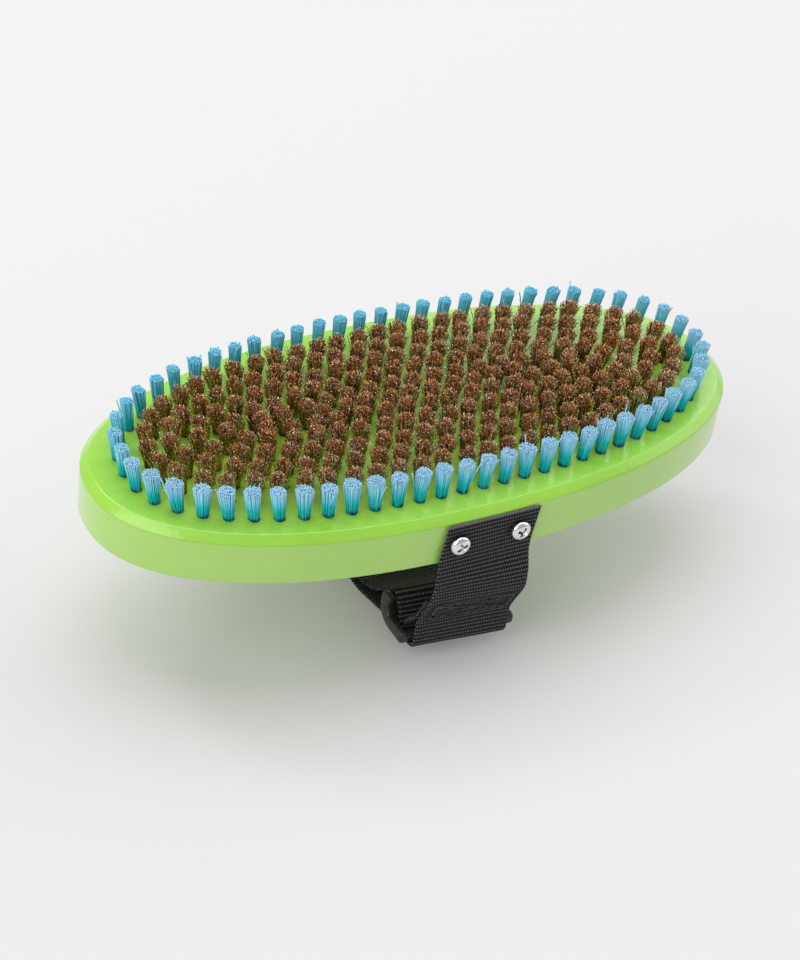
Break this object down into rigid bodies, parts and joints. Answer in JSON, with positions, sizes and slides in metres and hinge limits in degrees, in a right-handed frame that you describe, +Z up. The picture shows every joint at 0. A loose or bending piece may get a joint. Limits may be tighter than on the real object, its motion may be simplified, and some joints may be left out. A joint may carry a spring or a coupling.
{
  "type": "oval grooming brush",
  "caption": "Oval wooden grooming brush with crimped bronze wire tufts inside a ring of nylon tufts, and an adjustable webbing hand strap under the board.",
  "frame": {"origin": "the point on the floor under the middle of the board, with the brush standing on its strap", "axes": "+X along the board's long axis, +Y across the board towards the far strap end, +Z up through the tufts"},
  "size_m": [0.22, 0.11, 0.0731],
  "materials": {
    "lacquer": "glossy green lacquer",
    "bronze": "crimped bronze wire",
    "nylon": "translucent blue nylon filament",
    "webbing": "ribbed black webbing",
    "thread": "black bonded thread",
    "buckle": "satin black moulding",
    "chrome": "bright plated"
  },
  "bodies": {
    "root": {"brush_board": "lacquer", "bronze_ring_1_right": "bronze", "bronze_ring_1_far": "bronze", "bronze_ring_1_left": "bronze", "bronze_ring_1_near": "bronze", "bronze_ring_2_right": "bronze", "bronze_ring_2_far": "bronze", "bronze_ring_2_left": "bronze", "bronze_ring_2_near": "bronze", "bronze_ring_3_right": "bronze", "bronze_ring_3_far": "bronze", "bronze_ring_3_left": "bronze", "bronze_ring_3_near": "bronze", "bronze_ring_4_right": "bronze", "bronze_ring_4_far": "bronze", "bronze_ring_4_left": "bronze", "bronze_ring_4_near": "bronze", "bronze_ring_5_right": "bronze", "bronze_ring_5_far": "bronze", "bronze_ring_5_left": "bronze", "bronze_ring_5_near": "bronze", "bronze_middle_row": "bronze", "nylon_arc_01": "nylon", "nylon_arc_02": "nylon", "nylon_arc_03": "nylon", "nylon_arc_04": "nylon", "nylon_arc_05": "nylon", "nylon_arc_06": "nylon", "nylon_arc_07": "nylon", "nylon_arc_08": "nylon", "near_strap_anchor": "webbing", "far_strap_anchor": "webbing", "screw_near_left": "chrome", "screw_near_right": "chrome", "screw_far_left": "chrome", "screw_far_right": "chrome"},
    "far_drop": {"far_strap_drop": "webbing"},
    "near_loop": {"near_strap_loop": "webbing", "strap_stitching": "thread"},
    "sling": {"strap_run": "webbing", "strap_tail": "webbing", "ladder_lock_buckle": "buckle"}
  },
  "joints": [
    {"name": "far_strap_swing", "type": "hinge", "parent": "root", "child": "far_drop", "pos_m": [-0.0022, 0.0518, 0.0439], "axis": [1, 0, 0], "range_deg": [-12, 12], "stiffness_Nm_per_rad": 0.3},
    {"name": "lower_strap_level", "type": "hinge", "parent": "far_drop", "child": "sling", "pos_m": [-0.0022, 0.0446, 0.0083], "axis": [1, 0, 0], "range_deg": [-14.4, 14.4], "stiffness_Nm_per_rad": 0.3},
    {"name": "near_strap_swing", "type": "hinge", "parent": "root", "child": "near_loop", "pos_m": [-0.0022, -0.0518, 0.0439], "axis": [1, 0, 0], "range_deg": [-12.5, 12.5], "stiffness_Nm_per_rad": 0.3}
  ],
  "couplings": [
    {"joint": "lower_strap_level", "follows": "far_strap_swing", "ratio": -1.19},
    {"joint": "near_strap_swing", "follows": "far_strap_swing", "ratio": 1.03}
  ]
}
